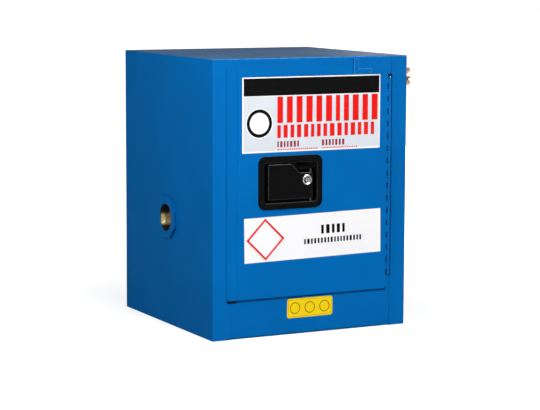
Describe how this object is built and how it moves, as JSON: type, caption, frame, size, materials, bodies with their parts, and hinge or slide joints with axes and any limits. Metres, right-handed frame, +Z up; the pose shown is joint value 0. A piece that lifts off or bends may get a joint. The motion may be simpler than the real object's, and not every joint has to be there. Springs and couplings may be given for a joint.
{
  "type": "safety cabinet",
  "caption": "Blue countertop safety cabinet with a double-walled steel body, a hinged door with a recessed paddle latch, side vents and a shelf.",
  "frame": {"origin": "middle of the base panel's underside, on the surface that the cabinet stands on", "axes": "+Z up, the door faces -Y, +X to the right seen from the front"},
  "size_m": [0.4621, 0.4395, 0.554],
  "materials": {
    "blue_powder_coat": "satin powder coat with a fine orange peel",
    "black_moulding": "black, satin, finely textured",
    "yellow_zinc": "yellow chromated zinc plate",
    "bright_steel": "bright nickel or zinc plate",
    "black_steel": "black oxide, slightly oiled",
    "galvanised_steel": "galvanised, faint spangle",
    "brass": "plain brass, slightly browned",
    "arrester_mesh": "fine wire mesh, dark"
  },
  "bodies": {
    "cabinet": {"side_panel_left": "blue_powder_coat", "side_panel_right": "blue_powder_coat", "top_panel": "blue_powder_coat", "sill_panel": "blue_powder_coat", "base_panel": "blue_powder_coat", "back_panel": "blue_powder_coat", "liner_left": "blue_powder_coat", "liner_right": "blue_powder_coat", "liner_back": "blue_powder_coat", "liner_top": "blue_powder_coat", "sump_floor": "blue_powder_coat", "jamb_left": "blue_powder_coat", "jamb_right": "blue_powder_coat", "strike_plate": "bright_steel", "shelf": "galvanised_steel", "shelf_standard_1": "galvanised_steel", "shelf_standard_2": "galvanised_steel", "shelf_standard_3": "galvanised_steel", "shelf_standard_4": "galvanised_steel", "shelf_clip_1": "galvanised_steel", "shelf_clip_2": "galvanised_steel", "shelf_clip_3": "galvanised_steel", "shelf_clip_4": "galvanised_steel", "vent_boss_left": "blue_powder_coat", "vent_sleeve_left": "yellow_zinc", "arrester_screen_left": "arrester_mesh", "arrester_ring_left": "bright_steel", "vent_locknut_left": "yellow_zinc", "vent_boss_right": "blue_powder_coat", "vent_sleeve_right": "yellow_zinc", "arrester_screen_right": "arrester_mesh", "arrester_ring_right": "bright_steel", "vent_locknut_right": "yellow_zinc", "ground_stud": "brass", "ground_nut": "brass", "ground_washer": "brass", "hinge_leaf_frame": "blue_powder_coat", "hinge_pin": "bright_steel"},
    "door": {"door_skin": "blue_powder_coat", "door_pan": "blue_powder_coat", "hinge_leaf_door": "blue_powder_coat", "corner_angle": "blue_powder_coat", "handle_dish": "black_moulding", "paddle_pin": "black_steel", "latch_plate": "galvanised_steel", "lever_pin": "bright_steel", "bolt_guide_left": "bright_steel", "bolt_guide_right": "bright_steel"},
    "paddle_arm": {"paddle": "black_moulding", "lock_barrel": "bright_steel"},
    "lock_core": {"lock_plug": "bright_steel"},
    "lever_arm": {"latch_lever": "bright_steel"},
    "bolt_bar": {"latch_bolt": "bright_steel"},
    "wing": {"ground_wing_nut": "brass"}
  },
  "joints": [
    {"name": "door_hinge", "type": "hinge", "parent": "cabinet", "child": "door", "pos_m": [0.1773, -0.219, 0.309], "axis": [0, 0, 1], "range_deg": [0, 160]},
    {"name": "paddle_pull", "type": "hinge", "parent": "door", "child": "paddle_arm", "pos_m": [-0.002, -0.2141, 0.2855], "axis": [0, 0, 1], "range_deg": [0, 30], "stiffness_Nm_per_rad": 0.4, "springref_deg": -8.59},
    {"name": "lock_turn", "type": "hinge", "parent": "paddle_arm", "child": "lock_core", "pos_m": [-0.0131, -0.2214, 0.3108], "axis": [0, 1, 0], "range_deg": [0, 90]},
    {"name": "lever_swing", "type": "hinge", "parent": "door", "child": "lever_arm", "pos_m": [-0.0099, -0.2005, 0.3075], "axis": [0, 1, 0], "range_deg": [0, 25.6]},
    {"name": "bolt_slide", "type": "slide", "parent": "door", "child": "bolt_bar", "axis": [1, 0, 0], "range_m": [0, 0.0095]},
    {"name": "wing_nut_turn", "type": "hinge", "parent": "cabinet", "child": "wing", "pos_m": [0.227, -0.195, 0.51], "axis": [1, 0, 0], "continuous": true}
  ],
  "couplings": [
    {"joint": "lever_swing", "follows": "paddle_pull", "ratio": 0.85},
    {"joint": "bolt_slide", "follows": "paddle_pull", "m_per_rad": 0.01809}
  ]
}
